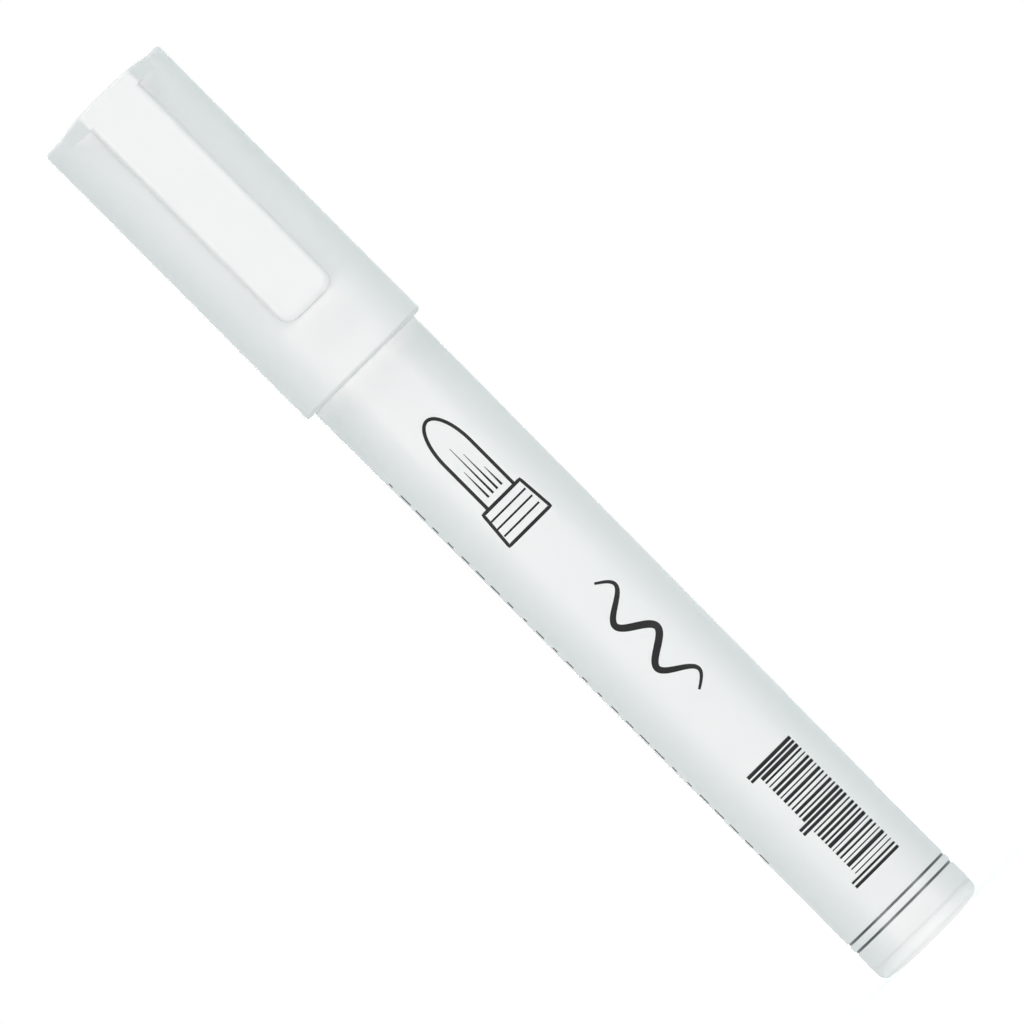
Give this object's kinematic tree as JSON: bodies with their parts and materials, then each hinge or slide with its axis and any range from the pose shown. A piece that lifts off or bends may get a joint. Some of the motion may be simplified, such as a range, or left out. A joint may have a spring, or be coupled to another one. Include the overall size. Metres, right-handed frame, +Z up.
{
  "type": "liquid chalk marker",
  "caption": "Capped liquid chalk marker: a tapered white barrel with a spring valve behind a bullet nib, a push-on cap with pocket clip, and a tail plug.",
  "frame": {"origin": "middle of the flat face of the tail, on the marker's axis, with the capped marker standing on it", "axes": "+Z up the marker from the tail to the closed end of the cap, -Y towards the pocket clip, +X across it"},
  "size_m": [0.0181, 0.0195, 0.1349],
  "materials": {
    "cap_plastic": "satin white moulded polypropylene",
    "barrel_plastic": "semi-gloss white moulded polypropylene",
    "ring_plastic": "semi-gloss white moulded polypropylene",
    "plug_plastic": "slightly translucent white polyethylene",
    "nose_plastic": "semi-gloss white moulded polypropylene",
    "liner_plastic": "waxy natural polyethylene",
    "nib_fibre": "pressed polyester fibre, white with ink",
    "valve_plastic": "natural acetal",
    "plunger_plastic": "natural acetal",
    "gasket_rubber": "smooth black nitrile",
    "spring_steel": "drawn stainless wire",
    "ball_steel": "polished stainless steel"
  },
  "bodies": {
    "barrel_body": {"barrel": "barrel_plastic", "end_plug": "plug_plastic", "tail_sleeve": "barrel_plastic", "tail_ring": "ring_plastic", "front_section": "nose_plastic", "valve_housing": "valve_plastic", "valve_gasket": "gasket_rubber", "valve_cage": "valve_plastic", "valve_spring": "spring_steel"},
    "nib_body": {"nib": "nib_fibre"},
    "plunger_body": {"valve_plunger": "plunger_plastic"},
    "ball_body": {"mixing_ball": "ball_steel"},
    "cap_body": {"cap_shell": "cap_plastic", "cap_liner": "liner_plastic"},
    "clip_body": {"pocket_clip": "cap_plastic"}
  },
  "joints": [
    {"name": "cap_pull", "type": "slide", "parent": "barrel_body", "child": "cap_body", "axis": [0, 0, 1], "range_m": [0, 0.05]},
    {"name": "clip_flex", "type": "hinge", "parent": "cap_body", "child": "clip_body", "pos_m": [0, -0.01055, 0.1326], "axis": [-1, 0, 0], "range_deg": [0, 5], "stiffness_Nm_per_rad": 0.6},
    {"name": "nib_press", "type": "slide", "parent": "barrel_body", "child": "nib_body", "axis": [0, 0, -1], "range_m": [0, 0.002], "stiffness_N_per_m": 300, "springref_m": -0.002},
    {"name": "valve_open", "type": "slide", "parent": "barrel_body", "child": "plunger_body", "axis": [0, 0, -1], "range_m": [0, 0.002], "deforming": ["valve_spring"]},
    {"name": "ball_roll", "type": "slide", "parent": "barrel_body", "child": "ball_body", "axis": [0, 0, 1], "range_m": [0, 0.0794]}
  ],
  "couplings": [
    {"joint": "valve_open", "follows": "nib_press", "ratio": 1}
  ]
}
